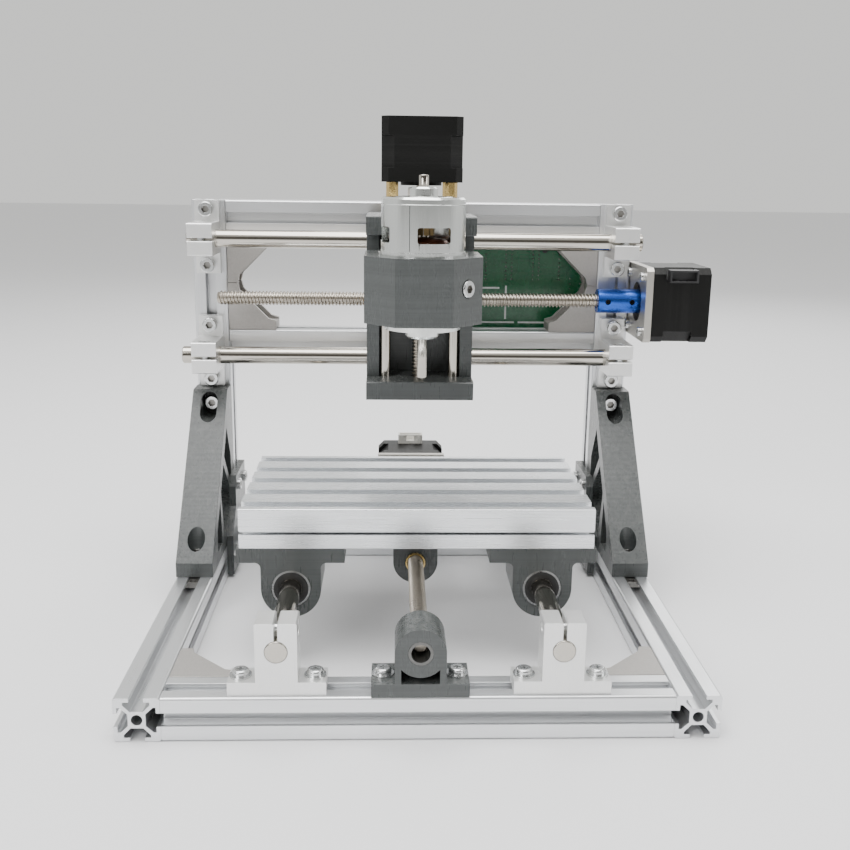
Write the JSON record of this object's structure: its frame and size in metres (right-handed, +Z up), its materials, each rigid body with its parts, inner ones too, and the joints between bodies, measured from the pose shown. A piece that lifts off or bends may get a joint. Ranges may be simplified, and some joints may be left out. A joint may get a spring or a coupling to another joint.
{
  "type": "desktop cnc router",
  "caption": "Small bench router with a slotted bed that slides front to back, a gantry carriage and a motor spindle moving up and down.",
  "frame": {"origin": "on the bench, under the middle of the whole machine", "axes": "+X to the right along the gantry, +Y from the front of the machine to the back, +Z up"},
  "size_m": [0.301, 0.277, 0.265],
  "materials": {
    "anodised": "satin clear anodised extrusion",
    "milled": "fine satin machined aluminium",
    "cast": "die-cast, slightly rough",
    "printed_grey": "printed plastic with fine layer lines",
    "black_paint": "satin black",
    "rod_steel": "polished hardened rod",
    "screw_steel": "rolled thread",
    "zinc": "bright zinc plate",
    "brass": "machined brass",
    "blue_anodised": "blue anodised",
    "spacer_nylon": "natural nylon",
    "white_plastic": "moulded connector plastic",
    "black_plastic": "moulded package plastic",
    "board_green": "solder-masked laminate",
    "bearing_steel": "ground bearing shell with dark seals",
    "winding": "laminations and varnished copper"
  },
  "bodies": {
    "frame": {"base_brackets": "cast", "board_chips": "black_plastic", "board_sockets": "black_plastic", "board_spacers": "spacer_nylon", "brace_left": "printed_grey", "brace_right": "printed_grey", "brace_screws": "zinc", "bracket_screws": "zinc", "clamp_screws": "zinc", "controller_board": "board_green", "foot_plates": "printed_grey", "front_profile": "anodised", "gantry_brackets": "cast", "heat_sinks": "milled", "lower_beam": "anodised", "motor_screws": "zinc", "motor_sockets": "white_plastic", "pan_screws": "zinc", "rear_profile": "anodised", "screw_bush": "bearing_steel", "screw_holder": "printed_grey", "side_profile_left": "anodised", "side_profile_right": "anodised", "slot_nuts": "brass", "socket_screws": "zinc", "upper_beam": "anodised", "upright_left": "anodised", "upright_right": "anodised", "x_motor": "black_paint", "x_motor_bracket": "milled", "x_rod_supports": "milled", "x_rods": "rod_steel", "y_motor": "black_paint", "y_motor_bracket": "milled", "y_rod_supports": "milled", "y_rods": "rod_steel"},
    "table": {"bed": "anodised", "bearing_holders": "printed_grey", "table_bearings": "bearing_steel", "nut_holder": "printed_grey", "y_nut": "brass", "holder_bolts": "zinc"},
    "x_lead_screw": {"x_screw": "screw_steel", "x_coupling": "blue_anodised"},
    "y_lead_screw": {"y_screw": "screw_steel", "y_coupling": "blue_anodised"},
    "x_carriage": {"carriage": "printed_grey", "x_bearings": "bearing_steel", "x_nut": "brass", "z_rods": "rod_steel", "standoffs": "brass", "z_motor": "black_paint", "z_motor_socket": "white_plastic"},
    "z_lead_screw": {"z_screw": "screw_steel", "z_coupling": "milled"},
    "spindle_slide": {"spindle_holder": "printed_grey", "spindle_clamp_screw": "zinc", "spindle_can": "zinc"},
    "rotor": {"spindle_shaft": "rod_steel", "armature": "winding"}
  },
  "joints": [
    {"name": "table_y", "type": "slide", "parent": "frame", "child": "table", "axis": [0, 1, 0], "range_m": [-0.05, 0.05]},
    {"name": "carriage_x", "type": "slide", "parent": "frame", "child": "x_carriage", "axis": [1, 0, 0], "range_m": [-0.086, 0.074]},
    {"name": "spindle_z", "type": "slide", "parent": "x_carriage", "child": "spindle_slide", "axis": [0, 0, 1], "range_m": [-0.037, 0.006]},
    {"name": "x_screw_turn", "type": "hinge", "parent": "frame", "child": "x_lead_screw", "pos_m": [-0.0165, 0.0615, 0.1655], "axis": [1, 0, 0], "range_deg": [-7740, 6660]},
    {"name": "y_screw_turn", "type": "hinge", "parent": "frame", "child": "y_lead_screw", "pos_m": [-0.0165, -0.0385, 0.04], "axis": [0, 1, 0], "range_deg": [-4500, 4500]},
    {"name": "z_screw_turn", "type": "hinge", "parent": "x_carriage", "child": "z_lead_screw", "pos_m": [-0.0139, 0.0325, 0.16], "axis": [0, 0, 1], "range_deg": [-3330, 540]},
    {"name": "spindle_turn", "type": "hinge", "parent": "spindle_slide", "child": "rotor", "pos_m": [-0.0139, -0.0175, 0.18], "axis": [0, 0, 1], "continuous": true}
  ],
  "couplings": [
    {"joint": "x_screw_turn", "follows": "carriage_x", "rad_per_m": 1570.8},
    {"joint": "y_screw_turn", "follows": "table_y", "rad_per_m": 1570.8},
    {"joint": "z_screw_turn", "follows": "spindle_z", "rad_per_m": 1570.8}
  ]
}
